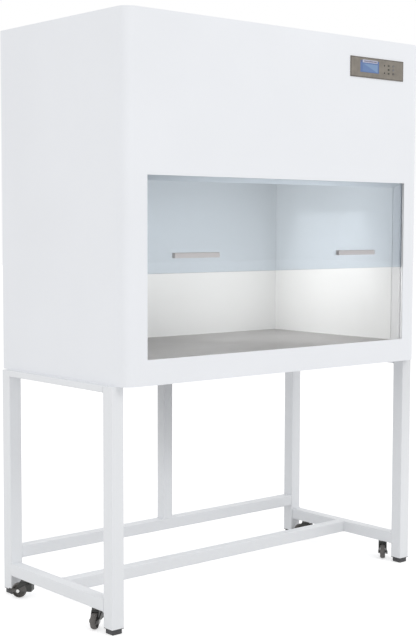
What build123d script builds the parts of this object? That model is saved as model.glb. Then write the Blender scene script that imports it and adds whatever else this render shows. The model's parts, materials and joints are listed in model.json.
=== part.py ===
"""Laminar flow hood on a welded tube stand.

Air is drawn in through the roof, pressed by a blower into a plenum, filtered, and falls
evenly over the worktop and out of the front opening under a sliding glass sash.

Millimetres, +Z up. The origin is on the floor, midway between the outermost faces, and the
user stands on the -Y side.
"""
import os
from math import cos, radians, sin

from build123d import *

os.makedirs("parts", exist_ok=True)


def save(piece, label):
    """Name a finished piece and write it as one STEP file."""
    piece.label = label
    export_step(piece, f"parts/{label}.step")


# ---------------------------------------------------------------- driving dimensions
stand_height = 750.0        # floor to the cabinet's lower edge
cabinet_width = 1300.0
cabinet_depth = 680.0
corner_radius = 40.0        # upright front corners of the folded casing
casing_sheet = 1.5
liner_sheet = 1.2
mid = liner_sheet / 2       # folded liners are drawn at the middle of their sheet
bend = 2.0                  # bend radius of the folded liners
fit = 0.3                   # gap between sheets that only lie side by side

opening_margin = 80.0       # casing beside the front opening
sill_height = 78.0          # casing below the front opening
opening_height = 548.0
worktop_drop = 6.0          # worktop surface below the sill
service_gap = 28.0          # face of the chamber's back wall to the rear of the casing
shelf_rise = 22.0           # lamp shelf above the opening
filter_rise = 14.0          # filter seat above the lamp shelf
filter_height = 100.0
plenum_height = 68.0        # filter to fan deck

glass_thickness = 5.0
glass_setback = 10.0        # casing front to the front of the glass
glass_overlap = 8.0         # glass beyond the opening on each side
glass_margin = 22.0         # glass taller than the opening
glass_play = 0.5            # running gap on each face of the glass
sash_lift = 255.0           # lower edge of the glass above the sill

impeller_radius = 85.0
scroll_growth = 12.0        # volute growth in each quarter turn
scroll_height = 130.0       # deck to the blower's axis
fan_headroom = 15.5         # scroll to the underside of the intake well
well_depth = 24.0

leg_tube = 45.0             # square tube of the legs
tube = 40.0                 # square tube of the rails
tube_wall = 2.0
tube_corner = 3.0
top_tube = 20.0             # height of the flat tubes under the cabinet
stand_ledge = 21.0          # stand beyond the cabinet on each side
stand_front_inset = 43.5
stand_back_inset = 25.0
foot_height = 18.0
back_rail_lift = 14.0       # back rail above the top of the side rails

wheel_radius = 25.0
wheel_width = 18.0
castor_trail = 22.0
castor_head = 14.0          # top of the wheel to the underside of the side rail
castor_turn = castor_trail + wheel_radius + 8.0     # swivel axis to the pedal's far corner
castor_clear = (7.0, 2.0)   # that corner to the front and back legs

# ---------------------------------------------------------------- planes that follow
fascia_plate = 2.5
key_proud = 0.8
handle_depth = 13.0
handle_proud = handle_depth - glass_setback
front_proud = max(handle_proud, fascia_plate + key_proud)
inlet_flange = 3.0
overall_depth = front_proud + cabinet_depth + casing_sheet + inlet_flange
front = -overall_depth / 2 + front_proud
back = front + cabinet_depth
middle = (front + back) / 2
half_width = cabinet_width / 2
scroll_radius = impeller_radius + 12.0      # volute at its lowest point
fan_height = (casing_sheet + scroll_height + scroll_radius + scroll_growth
              + fan_headroom + well_depth)
cabinet_height = (sill_height + opening_height + shelf_rise + filter_rise + filter_height
                  + plenum_height + fan_height)
bottom = stand_height
roof = bottom + cabinet_height
opening_half = half_width - opening_margin
sill = bottom + sill_height
lintel = sill + opening_height
shelf = lintel + shelf_rise
filter_seat = shelf + filter_rise
deck = roof - fan_height
worktop_top = sill - worktop_drop
chamber_back = back - service_gap
pan_top = bottom + casing_sheet
glass_front = front + glass_setback
glass_back = glass_front + glass_thickness
glass_height = opening_height + glass_margin
front_plane = Plane.XZ.offset(-front)       # drawn from the user's side, +Z up


# ---------------------------------------------------------------- casing
# One folded sheet: front and both sides, with rounded upright corners and rear returns.
back_return = 22.0
window_width, window_height = 265.0, 68.0           # control fascia
window_x = half_width - 96.0 - window_width / 2
window_z = roof - 98.0
cutout_width, cutout_height = window_width - 20.0, window_height - 12.0

with BuildPart() as outer_shell:
    with BuildSketch(Plane.XY.offset(bottom)) as plan:
        with Locations((0, front + cabinet_depth / 2)):
            Rectangle(cabinet_width, cabinet_depth)
        fillet(plan.vertices().group_by(Axis.Y)[0], corner_radius)
        offset(amount=-casing_sheet, mode=Mode.SUBTRACT)
        with Locations((0, back)):
            Rectangle(cabinet_width - 2 * back_return, 4 * casing_sheet, mode=Mode.SUBTRACT)
    extrude(amount=cabinet_height - casing_sheet)
    with BuildSketch(front_plane) as openings:
        with Locations((0, (sill + lintel) / 2)):
            Rectangle(2 * opening_half, opening_height)
        with Locations((window_x, window_z)):
            RectangleRounded(cutout_width, cutout_height, 2)
    extrude(amount=-2 * casing_sheet, mode=Mode.SUBTRACT)
save(outer_shell.part, "outer_shell")

# Rear panel, screwed over the casing's returns, with a cut-out for the power inlet.
panel_margin = 10.0
inlet_x, inlet_z = half_width - 200.0, roof - 150.0
inlet_body_width, inlet_body_height = 28.0, 22.0

with BuildPart() as back_panel:
    with BuildSketch(Plane.XZ.offset(-(back + casing_sheet))):
        with Locations((0, (bottom + roof) / 2)):
            RectangleRounded(
                cabinet_width - 2 * panel_margin, cabinet_height - 2 * panel_margin, 4
            )
        with Locations((inlet_x, inlet_z)):
            Rectangle(inlet_body_width + 2 * fit, inlet_body_height + 2 * fit,
                      mode=Mode.SUBTRACT)
    extrude(amount=casing_sheet)
save(back_panel.part, "back_panel")

# Roof: a shallow lid with a folded well that carries the prefilter.
lid_lip = 12.0
well_width, well_length, well_shelf = 560.0, 260.0, 8.0
well_y = middle - 10.0

with BuildPart() as top_panel:
    with BuildSketch(Plane.XY.offset(roof)) as lid:
        with Locations((0, front + cabinet_depth / 2)):
            Rectangle(cabinet_width, cabinet_depth)
        fillet(lid.vertices().group_by(Axis.Y)[0], corner_radius)
    extrude(amount=-casing_sheet)
    with BuildSketch(Plane.XY.offset(roof - casing_sheet)) as lip:
        with Locations((0, front + cabinet_depth / 2)):
            Rectangle(cabinet_width - 2 * casing_sheet - 2 * fit,
                      cabinet_depth - 2 * casing_sheet - 2 * fit)
        fillet(lip.vertices().group_by(Axis.Y)[0], corner_radius - casing_sheet - fit)
        offset(amount=-liner_sheet, mode=Mode.SUBTRACT)
    extrude(amount=-lid_lip)
    with BuildSketch(Plane.XY.offset(roof)):
        with Locations((0, well_y)):
            Rectangle(well_width + 2 * liner_sheet, well_length + 2 * liner_sheet)
    extrude(amount=-well_depth)
    with BuildSketch(Plane.XY.offset(roof)):
        with Locations((0, well_y)):
            Rectangle(well_width, well_length)
    extrude(amount=-(well_depth - liner_sheet), mode=Mode.SUBTRACT)
    with BuildSketch(Plane.XY.offset(roof)):
        with Locations((0, well_y)):
            Rectangle(well_width - 2 * well_shelf, well_length - 2 * well_shelf)
    extrude(amount=-well_depth, mode=Mode.SUBTRACT)
save(top_panel.part, "top_panel")

with BuildPart() as prefilter_pad:
    with BuildSketch(Plane.XY.offset(roof - well_depth + liner_sheet)):
        with Locations((0, well_y)):
            RectangleRounded(well_width - 2 * fit, well_length - 2 * fit, 3)
    extrude(amount=well_depth - liner_sheet - casing_sheet - 1.0)
save(prefilter_pad.part, "prefilter_pad")

# Intake grille: a pressed plate over the well, with two columns of long slots.
grille_rim = 12.0
grille_sheet = 2.0

with BuildPart() as intake_grille:
    with BuildSketch(Plane.XY.offset(roof)):
        with Locations((0, well_y)):
            RectangleRounded(well_width + 2 * grille_rim, well_length + 2 * grille_rim, 6)
            with GridLocations(well_width / 2, well_length / 9, 2, 9):
                SlotOverall(well_width / 2 - 24, 14, mode=Mode.SUBTRACT)
    extrude(amount=grille_sheet)
save(intake_grille.part, "intake_grille")

# Bottom pan: a tray with rounded front corners that stands on the stand's top frame.
pan_edge = 15.0

with BuildPart() as bottom_pan:
    with BuildSketch(Plane.XY.offset(bottom)) as tray:
        with Locations((0, front + cabinet_depth / 2)):
            Rectangle(cabinet_width - 2 * casing_sheet - 2 * fit,
                      cabinet_depth - 2 * casing_sheet - 2 * fit)
        fillet(tray.vertices().group_by(Axis.Y)[0], corner_radius - casing_sheet - fit)
    extrude(amount=pan_edge)
    offset(amount=-casing_sheet, openings=faces().sort_by(Axis.Z)[-1])
save(bottom_pan.part, "bottom_pan")

# ---------------------------------------------------------------- work chamber
# Worktop: a folded stainless tray, turned over, whose flanges stand on the pan.
worktop_front = glass_back + 3.0

with BuildPart() as worktop:
    with BuildSketch(Plane.XY.offset(worktop_top)):
        with Locations((0, (worktop_front + chamber_back - fit) / 2)):
            Rectangle(2 * (opening_half - fit), chamber_back - fit - worktop_front)
    extrude(amount=-(worktop_top - pan_top))
    fillet(edges().group_by(Axis.Z)[-1], bend)
    offset(amount=-liner_sheet, openings=faces().sort_by(Axis.Z)[0])
save(worktop.part, "worktop")

# Side and back walls: folded sheets with outward flanges, from the pan to the fan deck.
run_web, run_lip = 2.0, 1.5     # walls of the channels the glass slides in
wall_flange = 20.0
jamb_front = glass_back + glass_play + run_lip
jamb_depth = 37.0
jamb_back = jamb_front + jamb_depth

with BuildPart() as wall_right:
    with BuildSketch(Plane.XZ.offset(-(jamb_back + fit))):
        with BuildLine():
            FilletPolyline(
                (opening_half + wall_flange, pan_top + mid), (opening_half + mid, pan_top + mid),
                (opening_half + mid, deck - mid), (opening_half + wall_flange, deck - mid),
                radius=bend
            )
        trace(line_width=liner_sheet)
    extrude(amount=-(chamber_back - jamb_back - 2 * fit))
save(wall_right.part, "wall_right")

with BuildPart() as wall_left:
    mirror(wall_right.part, about=Plane.YZ)
save(wall_left.part, "wall_left")

with BuildPart() as wall_back:
    with BuildSketch(Plane.YZ.offset(-(opening_half + wall_flange))):
        with BuildLine():
            FilletPolyline(
                (chamber_back + wall_flange, pan_top + mid), (chamber_back + mid, pan_top + mid),
                (chamber_back + mid, deck - mid), (chamber_back + wall_flange, deck - mid),
                radius=bend
            )
        trace(line_width=liner_sheet)
    extrude(amount=2 * (opening_half + wall_flange))
save(wall_back.part, "wall_back")

# Jambs: folded strips behind the glass that close the chamber beside the opening.
jamb_flange = 30.0

with BuildPart() as jamb_right:
    with BuildSketch(Plane.XY.offset(pan_top)):
        with BuildLine():
            FilletPolyline(
                (opening_half + jamb_flange, jamb_front + mid),
                (opening_half + mid, jamb_front + mid), (opening_half + mid, jamb_back - mid),
                (opening_half + wall_flange, jamb_back - mid), radius=bend
            )
        trace(line_width=liner_sheet)
    extrude(amount=deck - pan_top - fit)
save(jamb_right.part, "jamb_right")

with BuildPart() as jamb_left:
    mirror(jamb_right.part, about=Plane.YZ)
save(jamb_left.part, "jamb_left")

# Header: one folded sheet, plenum front, sloped reveal over the opening and lamp shelf.
reveal_drop = 15.0
shelf_depth = 96.0

with BuildPart() as header_reveal:
    with BuildSketch(Plane.YZ.offset(-(opening_half - fit))):
        with BuildLine():
            FilletPolyline(
                (jamb_front + wall_flange, deck - fit - mid), (jamb_front + mid, deck - fit - mid),
                (jamb_front + mid, lintel + mid), (jamb_back - mid, lintel - reveal_drop + mid),
                (jamb_back - mid, shelf + mid), (jamb_back + shelf_depth - mid, shelf + mid),
                (jamb_back + shelf_depth - mid, filter_seat - fit), radius=bend
            )
        trace(line_width=liner_sheet)
    extrude(amount=2 * (opening_half - fit))
save(header_reveal.part, "header_reveal")

# Glass runs: extruded channels in front of the jambs, in which the sash slides.
run_slot = glass_thickness + 2 * glass_play
run_face = front + 2 * (casing_sheet + fit)     # a return that closes the gap to the casing
run_front = glass_front - glass_play
run_depth = glass_overlap + 1.0
run_foot = pan_top + pan_edge
run_top = roof - 5.0

with BuildPart() as glass_runs:
    with BuildSketch(Plane.XY.offset(run_foot)) as section:
        with Locations((opening_half + (1 + run_depth + run_web) / 2,
                        glass_front + glass_thickness / 2)):
            Rectangle(run_depth + run_web - 1, run_slot + 2 * run_lip)
        with Locations((opening_half + run_depth / 2, glass_front + glass_thickness / 2)):
            Rectangle(run_depth, run_slot, mode=Mode.SUBTRACT)
        with Locations((opening_half + 1 + run_lip / 2, (run_face + run_front) / 2)):
            Rectangle(run_lip, run_front - run_face)
        mirror(about=Plane.YZ)
    extrude(amount=run_top - run_foot)
save(glass_runs.part, "glass_runs")

# Diffuser: a perforated tray under the filter that evens out the falling air.
diffuser_front = jamb_back + shelf_depth + fit
diffuser_depth = chamber_back - fit - diffuser_front
slot_pitch, row_pitch = 76.0, 32.0
slot_columns = int((2 * opening_half - 40) // slot_pitch)
slot_rows = int((diffuser_depth - 40) // row_pitch)

with BuildPart() as diffuser:
    with BuildSketch(Plane.XY.offset(shelf)):
        with Locations((0, diffuser_front + diffuser_depth / 2)):
            Rectangle(2 * (opening_half - fit), diffuser_depth)
    extrude(amount=filter_seat - shelf - fit)
    offset(amount=-liner_sheet, openings=faces().sort_by(Axis.Z)[-1])
    with BuildSketch(Plane.XY.offset(shelf)):
        with Locations((0, diffuser_front + diffuser_depth / 2)):
            with GridLocations(slot_pitch, row_pitch, slot_columns, slot_rows):
                Rectangle(slot_pitch - 20, 12)
    extrude(amount=liner_sheet, mode=Mode.SUBTRACT)
save(diffuser.part, "diffuser")

# Filter: a rigid frame around one pleated pack, sealed at the works.
filter_front = diffuser_front - 10.0
filter_depth = chamber_back - 2.0 - filter_front
filter_half = opening_half - 2.0
filter_frame = 20.0
pleats = 38
pleat_height = filter_height - 24.0
pleat_skin = 12.0

with BuildPart() as hepa_filter:
    with BuildSketch(Plane.XY.offset(filter_seat)):
        with Locations((0, filter_front + filter_depth / 2)):
            Rectangle(2 * filter_half, filter_depth)
            Rectangle(2 * (filter_half - filter_frame), filter_depth - 2 * filter_frame,
                      mode=Mode.SUBTRACT)
    extrude(amount=filter_height)
    half_pitch = (filter_half - filter_frame + 1) / pleats
    low = filter_seat + (filter_height - pleat_height) / 2
    folds = [
        ((k - pleats) * half_pitch, low + (k % 2) * (pleat_height - pleat_skin))
        for k in range(2 * pleats + 1)
    ]
    with BuildSketch(Plane.XZ.offset(-(filter_front + filter_frame - 1))):
        with BuildLine():
            Polyline(*folds, *[(x, z + pleat_skin) for x, z in reversed(folds)], close=True)
        make_face()
    extrude(amount=-(filter_depth - 2 * filter_frame + 2))
save(hepa_filter.part, "hepa_filter")

# ---------------------------------------------------------------- lamps
# One white tube and one germicidal tube under the lamp shelf, hidden by the reveal.
lamp_radius = 13.0
lamp_end = 122.5            # end of a lamp to the side wall
lamp_length = 2 * (opening_half - lamp_end)
lamp_drop = 18.0
lamp_y = (jamb_back + 26.0, jamb_back + 68.0)
pin_radius, pin_length, pin_pitch = 1.2, 7.0, 12.7
holder_width = 18.0

for label, y in zip(("lamp_tube", "uv_tube"), lamp_y):
    with BuildPart() as lamp:
        with BuildSketch(Plane.YZ.offset(-lamp_length / 2)):
            with Locations((y, shelf - lamp_drop)):
                Circle(lamp_radius)
        extrude(amount=lamp_length)
        chamfer(edges().filter_by(GeomType.CIRCLE), 1.5)
        with BuildSketch(Plane.YZ.offset(-lamp_length / 2 - pin_length)):
            with Locations((y, shelf - lamp_drop)):
                with GridLocations(0, pin_pitch, 1, 2):
                    Circle(pin_radius)
        extrude(amount=lamp_length + 2 * pin_length)
    save(lamp.part, label)

with BuildPart() as lampholders:
    holder_height = lamp_drop + lamp_radius
    for side in (-1, 1):
        x = side * (lamp_length / 2 + fit + holder_width / 2)
        with BuildSketch(Plane.XY.offset(shelf)):
            with Locations(*[(x, y) for y in lamp_y]):
                RectangleRounded(holder_width, 2 * lamp_radius, 3)
        extrude(amount=-holder_height)
    for y in lamp_y:
        with BuildSketch(Plane.YZ.offset(-lamp_length / 2 - pin_length - 1)):
            with Locations((y, shelf - lamp_drop)):
                with GridLocations(0, pin_pitch, 1, 2):
                    Circle(pin_radius + 0.2)
        extrude(amount=lamp_length + 2 * pin_length + 2, mode=Mode.SUBTRACT)
save(lampholders.part, "lampholders")

# ---------------------------------------------------------------- fan section
# Fan deck: the plate that closes the plenum and carries the blower.
scroll_half = 46.0
scroll_sheet = 1.2
tongue_angle = 55.0         # volute cut-off, below the horizontal
blower_y = middle - 40.0
blower_z = deck + casing_sheet + scroll_height
tongue_radius = scroll_radius - scroll_growth / 3
outlet_in = tongue_radius * cos(radians(tongue_angle))
outlet_out = scroll_radius + 3 * scroll_growth

with BuildPart() as fan_deck:
    with BuildSketch(Plane.XY.offset(deck)):
        with Locations((0, (worktop_front + chamber_back + wall_flange) / 2)):
            Rectangle(2 * (opening_half + wall_flange),
                      chamber_back + wall_flange - worktop_front)
        with Locations((0, blower_y + (outlet_in + outlet_out) / 2)):
            Rectangle(2 * scroll_half, outlet_out - outlet_in - 2 * scroll_sheet,
                      mode=Mode.SUBTRACT)
    extrude(amount=casing_sheet)
save(fan_deck.part, "fan_deck")

# Blower scroll: folded volute between two side plates, with a bell-mouthed inlet.
inlet_radius = impeller_radius - 27.0
motor_boss = 9.0
scroll_plane = Plane((0, blower_y, blower_z), x_dir=(0, 1, 0), z_dir=(1, 0, 0))

with BuildSketch(scroll_plane) as volute:
    with BuildLine():
        centre = Vector(0, tongue_radius - scroll_radius)
        tongue = CenterArc(centre, tongue_radius, -tongue_angle, tongue_angle - 90)
        centre, radius, start = Vector(0, 0), scroll_radius, -90
        for step in ((scroll_growth, 0), (0, -scroll_growth), (0, 0)):
            quarter = CenterArc(centre, radius, start, -90)
            centre = centre + Vector(*step)
            radius += scroll_growth
            start -= 90
        Polyline(quarter @ 1, (outlet_out, -scroll_height), (outlet_in, -scroll_height),
                 tongue @ 0)
    make_face()

with BuildPart() as blower_scroll:
    with BuildSketch(scroll_plane.offset(-scroll_half - scroll_sheet)):
        add(volute.sketch_local)
    extrude(amount=2 * (scroll_half + scroll_sheet))
    with BuildSketch(scroll_plane.offset(-scroll_half)):
        add(volute.sketch_local)
        offset(amount=-scroll_sheet)
        with Locations(((outlet_in + outlet_out) / 2, -scroll_height)):
            Rectangle(outlet_out - outlet_in - 2 * scroll_sheet, 8 * scroll_sheet)
    extrude(amount=2 * scroll_half, mode=Mode.SUBTRACT)
    with BuildSketch(scroll_plane.offset(-scroll_half - scroll_sheet)):
        Circle(inlet_radius + 4)
    extrude(amount=10)
    with BuildSketch(scroll_plane.offset(-scroll_half - 2 * scroll_sheet)):
        Circle(inlet_radius)
    extrude(amount=20, mode=Mode.SUBTRACT)
    with BuildSketch(scroll_plane.offset(scroll_half - scroll_sheet)):
        Circle(motor_boss)
    extrude(amount=4 * scroll_sheet, mode=Mode.SUBTRACT)
save(blower_scroll.part, "blower_scroll")

# Impeller: forward-curved blades between a back disc and a front ring, on its shaft.
blade_count = 20
blade_sheet = 1.4
blade_root = impeller_radius - 20.0
blade_bulge = 4.0
impeller_half = 36.0
shaft_radius = 6.0
hub_radius = 14.0
motor_length = 84.0
shaft_end = scroll_half + 0.7 * motor_length

with BuildPart() as impeller:
    with BuildSketch(scroll_plane.offset(-impeller_half)):
        with PolarLocations(0, blade_count):
            with BuildLine():
                tip = Vector(impeller_radius - 1, -11)
                root = Vector(blade_root, 0)
                middle = (tip + root) * 0.5 + Vector(blade_bulge / 2, blade_bulge)
                outer = ThreePointArc(root, middle, tip)
                inner = ThreePointArc(
                    root - Vector(0, blade_sheet), middle - Vector(0, blade_sheet * 1.2),
                    tip - Vector(0, blade_sheet)
                )
                Line(outer @ 1, inner @ 1)
                Line(outer @ 0, inner @ 0)
            make_face()
    extrude(amount=2 * impeller_half)
    with BuildSketch(scroll_plane.offset(impeller_half - 2)):
        Circle(impeller_radius)
    extrude(amount=2)
    with BuildSketch(scroll_plane.offset(-impeller_half)):
        Circle(impeller_radius)
        Circle(blade_root - 2, mode=Mode.SUBTRACT)
    extrude(amount=2)
    with BuildSketch(scroll_plane.offset(8)):
        Circle(hub_radius)
    extrude(amount=impeller_half - 8)
    with BuildSketch(scroll_plane.offset(8)):
        Circle(shaft_radius)
    extrude(amount=shaft_end - 8)
save(impeller.part, "impeller")

# Blower motor: flanged to the scroll's closed side, with the shaft's bearing bore.
motor_radius = 42.0
bearing_play = 0.05

with BuildPart() as blower_motor:
    with BuildSketch(scroll_plane.offset(scroll_half + scroll_sheet)):
        Circle(motor_radius + 10)
    extrude(amount=3)
    with BuildSketch(scroll_plane.offset(scroll_half + scroll_sheet)):
        Circle(motor_radius)
    extrude(amount=motor_length)
    fillet(edges().sort_by(Axis.X)[-1], 8)
    with BuildSketch(scroll_plane.offset(scroll_half + scroll_sheet)):
        Circle(shaft_radius + bearing_play)
    extrude(amount=shaft_end - scroll_half + 1, mode=Mode.SUBTRACT)
save(blower_motor.part, "blower_motor")

# ---------------------------------------------------------------- sash
glass_low = sill + sash_lift

with BuildPart() as sash_glass:
    with BuildSketch(Plane.XZ.offset(-glass_front)):
        with Locations((0, glass_low + glass_height / 2)):
            Rectangle(2 * (opening_half + glass_overlap), glass_height)
    extrude(amount=-glass_thickness)
    chamfer(edges().filter_by(Axis.X), 0.6)
save(sash_glass.part, "sash_glass")

# Two pull handles: aluminium extrusions bonded to the glass, open below for the fingers.
handle_length = 176.0
handle_height = 16.0
handle_wall = 2.0
handle_x = (191.0 - opening_half, opening_half - 241.0)     # the right one is set further in
handle_low = glass_low + 46.0
handle_front = front - handle_proud

with BuildPart() as sash_handles:
    for x in handle_x:
        with BuildSketch(Plane.YZ.offset(x - handle_length / 2)) as section:
            with Locations(((glass_front + handle_front) / 2, handle_low + handle_height / 2)):
                Rectangle(handle_depth, handle_height)
            fillet(section.vertices().group_by(Axis.X)[0].sort_by(Axis.Y)[-1], 4)
            with Locations(((glass_front + handle_front) / 2,
                            handle_low + (handle_height - handle_wall) / 2)):
                Rectangle(handle_depth - 2 * handle_wall, handle_height - handle_wall,
                          mode=Mode.SUBTRACT)
        extrude(amount=handle_length)
save(sash_handles.part, "sash_handles")

# ---------------------------------------------------------------- control panel
lcd_width, lcd_height = 93.0, 40.0
lcd_x, lcd_z = window_x - 39.0, window_z + 3.5
lcd_recess = 1.6
key_width, key_height = 8.0, 6.0
key_play = 0.2
key_travel = 0.6
key_rim = 1.2
key_rows, key_columns = (window_z + 14.0, window_z + 0.5, window_z - 12.5), (56.5, 80.5)
lamp_column = 35.5
lens_radius = 2.5
board_gap = 3.2             # casing front to the face of the circuit board
board_width, board_height, board_thickness = 240.0, 48.0, 1.6
key_places = [(window_x + column, z) for column in key_columns for z in key_rows]
lens_places = [(window_x + lamp_column, window_z + z) for z in (13.0, -12.0)]
post_places = [
    (window_x + x, window_z + z) for x in (-112, 112) for z in (-18, 18)
]
fascia_face = front_plane.offset(fascia_plate)

with BuildPart() as control_fascia:
    with BuildSketch(fascia_face):
        with Locations((window_x, window_z)):
            RectangleRounded(window_width, window_height, 1)
    extrude(amount=-fascia_plate)
    with BuildSketch(fascia_face):
        with Locations((lcd_x, lcd_z)):
            RectangleRounded(lcd_width, lcd_height, 1)
    extrude(amount=-lcd_recess, mode=Mode.SUBTRACT)
    with BuildSketch(fascia_face):
        with Locations((lcd_x, lcd_z)):
            RectangleRounded(lcd_width - 5, lcd_height - 5, 1)
        with Locations(*key_places):
            RectangleRounded(key_width + 2 * key_play, key_height + 2 * key_play, 1.4)
        with Locations(*lens_places):
            Circle(lens_radius + key_play)
    extrude(amount=-2 * fascia_plate, mode=Mode.SUBTRACT)
    with BuildSketch(front_plane):
        with Locations(*post_places):
            Circle(2.5)
    extrude(amount=-board_gap)
save(control_fascia.part, "control_fascia")

with BuildPart() as display_window:
    with BuildSketch(front_plane.offset(fascia_plate - lcd_recess)):
        with Locations((lcd_x, lcd_z)):
            RectangleRounded(lcd_width - 2 * key_play, lcd_height - 2 * key_play, 1)
    extrude(amount=lcd_recess - 0.2)
save(display_window.part, "display_window")

for number, place in enumerate(key_places, start=1):
    with BuildPart() as key:
        with BuildSketch(front_plane.offset(fascia_plate + key_proud)):
            with Locations(place):
                RectangleRounded(key_width, key_height, 1.2)
        extrude(amount=-(fascia_plate + key_proud))
        with BuildSketch(front_plane):
            with Locations(place):
                RectangleRounded(key_width + 2 * key_rim, key_height + 2 * key_rim, 1.2)
        extrude(amount=-key_rim)
        with BuildSketch(front_plane.offset(-key_rim)):
            with Locations(place):
                Circle(1.8)
        extrude(amount=-(board_gap - key_rim - key_travel - key_play))
    save(key.part, f"key_{number}")

with BuildPart() as indicator_lenses:
    with BuildSketch(front_plane.offset(fascia_plate + 0.4)):
        with Locations(*lens_places):
            Circle(lens_radius)
    extrude(amount=-(fascia_plate + 0.4))
    with BuildSketch(front_plane):
        with Locations(*lens_places):
            Circle(lens_radius + key_rim)
    extrude(amount=-(board_gap - fit))
save(indicator_lenses.part, "indicator_lenses")

with BuildPart() as control_board:
    with BuildSketch(front_plane.offset(-board_gap)):
        with Locations((window_x, window_z)):
            Rectangle(board_width, board_height)
    extrude(amount=-board_thickness)
    with BuildSketch(front_plane.offset(-fit)):
        with Locations((lcd_x, lcd_z - 1)):
            Rectangle(lcd_width + 4, lcd_height - 2)
    extrude(amount=-(board_gap - fit))
save(control_board.part, "control_board")

# ---------------------------------------------------------------- power inlet
with BuildPart() as power_inlet:
    with BuildSketch(Plane.XZ.offset(-(back + casing_sheet))):
        with Locations((inlet_x, inlet_z)):
            RectangleRounded(50, 30, 5)
    extrude(amount=-inlet_flange)
    with BuildSketch(Plane.XZ.offset(-(back + casing_sheet))):
        with Locations((inlet_x, inlet_z)):
            Rectangle(inlet_body_width, inlet_body_height)
    extrude(amount=18)
    with BuildSketch(Plane.XZ.offset(-(back + casing_sheet + inlet_flange))):
        with Locations((inlet_x, inlet_z)):
            cavity = Rectangle(24, 16.5)
        chamfer(cavity.vertices().group_by(Axis.Y)[-1], 4)
    extrude(amount=16, mode=Mode.SUBTRACT)
    with BuildSketch(Plane.XZ.offset(-(back + casing_sheet - 13))):
        with Locations((inlet_x, inlet_z + 2), (inlet_x - 7, inlet_z - 2),
                       (inlet_x + 7, inlet_z - 2)):
            Rectangle(2, 4)
    extrude(amount=-13)
save(power_inlet.part, "power_inlet")

# ---------------------------------------------------------------- stand
# Square steel tube, welded and painted: an open frame with no rail across the front.
leg_x = half_width + stand_ledge - leg_tube / 2
rail_x = half_width + stand_ledge - tube / 2    # side rails flush with the legs outside
leg_front = front + stand_front_inset + leg_tube / 2
leg_back = back - stand_back_inset - leg_tube / 2
rail_height = 2 * wheel_radius + castor_head    # floor to the underside of the side rails
rail_top = rail_height + tube
back_rail_height = rail_top + back_rail_lift
inner_span = 2 * (leg_x - leg_tube / 2)
side_span = leg_back - leg_front - leg_tube
castor_y = (leg_front + leg_tube / 2 + castor_turn + castor_clear[0],
            leg_back - leg_tube / 2 - castor_turn - castor_clear[1])
stem_radius = 4.0


def tube_section(width=tube, height=tube):
    """The hollow section of a tube, drawn in the sketch that is open."""
    RectangleRounded(width, height, tube_corner)
    RectangleRounded(width - 2 * tube_wall, height - 2 * tube_wall, tube_corner - tube_wall,
                     mode=Mode.SUBTRACT)


corners = {
    "front_left": (-leg_x, leg_front), "front_right": (leg_x, leg_front),
    "back_left": (-leg_x, leg_back), "back_right": (leg_x, leg_back),
}
for name, place in corners.items():
    with BuildPart() as leg:
        with BuildSketch(Plane.XY.offset(foot_height)):
            with Locations(place):
                tube_section(leg_tube, leg_tube)
        extrude(amount=stand_height - foot_height)
        with BuildSketch(Plane.XY.offset(stand_height - tube_wall)):
            with Locations(place):
                RectangleRounded(leg_tube, leg_tube, tube_corner)
        extrude(amount=tube_wall)
    save(leg.part, f"leg_{name}")

# Top frame: three flat tubes between the capped leg tops, on which the cabinet stands.
with BuildPart() as top_frame:
    with BuildSketch(Plane.XZ.offset(-(leg_front + leg_tube / 2))):
        with Locations(*[(x, stand_height - top_tube / 2) for x in (-leg_x, leg_x)]):
            tube_section(leg_tube, top_tube)
    extrude(amount=-side_span)
    with BuildSketch(Plane.YZ.offset(-inner_span / 2)):
        with Locations((leg_back, stand_height - top_tube / 2)):
            tube_section(leg_tube, top_tube)
    extrude(amount=inner_span)
save(top_frame.part, "top_frame")

for name, x in (("left", -rail_x), ("right", rail_x)):
    with BuildPart() as side_rail:
        with BuildSketch(Plane.XZ.offset(-(leg_front + leg_tube / 2))):
            with Locations((x, rail_height + tube / 2)):
                tube_section()
        extrude(amount=-side_span)
        with BuildSketch(Plane.XY.offset(rail_height)):
            with Locations(*[(x, y) for y in castor_y]):
                Circle(stem_radius + 0.2)
        extrude(amount=2 * tube_wall, mode=Mode.SUBTRACT)
    save(side_rail.part, f"side_rail_{name}")

with BuildPart() as middle_rail:
    with BuildSketch(Plane.YZ.offset(tube / 2 - rail_x)):
        with Locations(((leg_front + leg_back) / 2, rail_height + tube / 2)):
            tube_section()
    extrude(amount=2 * rail_x - tube)
save(middle_rail.part, "middle_rail")

with BuildPart() as back_rail:
    with BuildSketch(Plane.YZ.offset(-inner_span / 2)):
        with Locations((leg_back, back_rail_height + tube / 2)):
            tube_section()
    extrude(amount=inner_span)
save(back_rail.part, "back_rail")

with BuildPart() as back_strut:
    with BuildSketch(Plane.XY.offset(back_rail_height + tube)):
        with Locations((0, leg_back)):
            tube_section()
    extrude(amount=stand_height - top_tube - back_rail_height - tube)
save(back_strut.part, "back_strut")

# Feet: moulded plugs in the leg ends, each with a collar and a square pad.
foot_pad = leg_tube - 8.0
foot_collar = 2.0
foot_plug = leg_tube - 2 * tube_wall - 2 * fit

with BuildPart() as feet:
    with BuildSketch() as pads:
        with Locations(*corners.values()):
            RectangleRounded(foot_pad, foot_pad, 4)
    extrude(amount=foot_height - foot_collar)
    chamfer(edges().group_by(Axis.Z)[0], 2)
    with BuildSketch(Plane.XY.offset(foot_height - foot_collar)):
        with Locations(*corners.values()):
            RectangleRounded(leg_tube, leg_tube, tube_corner)
    extrude(amount=foot_collar)
    with BuildSketch(Plane.XY.offset(foot_height)):
        with Locations(*corners.values()):
            Rectangle(foot_plug, foot_plug)
    extrude(amount=22)
save(feet.part, "feet")

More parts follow.
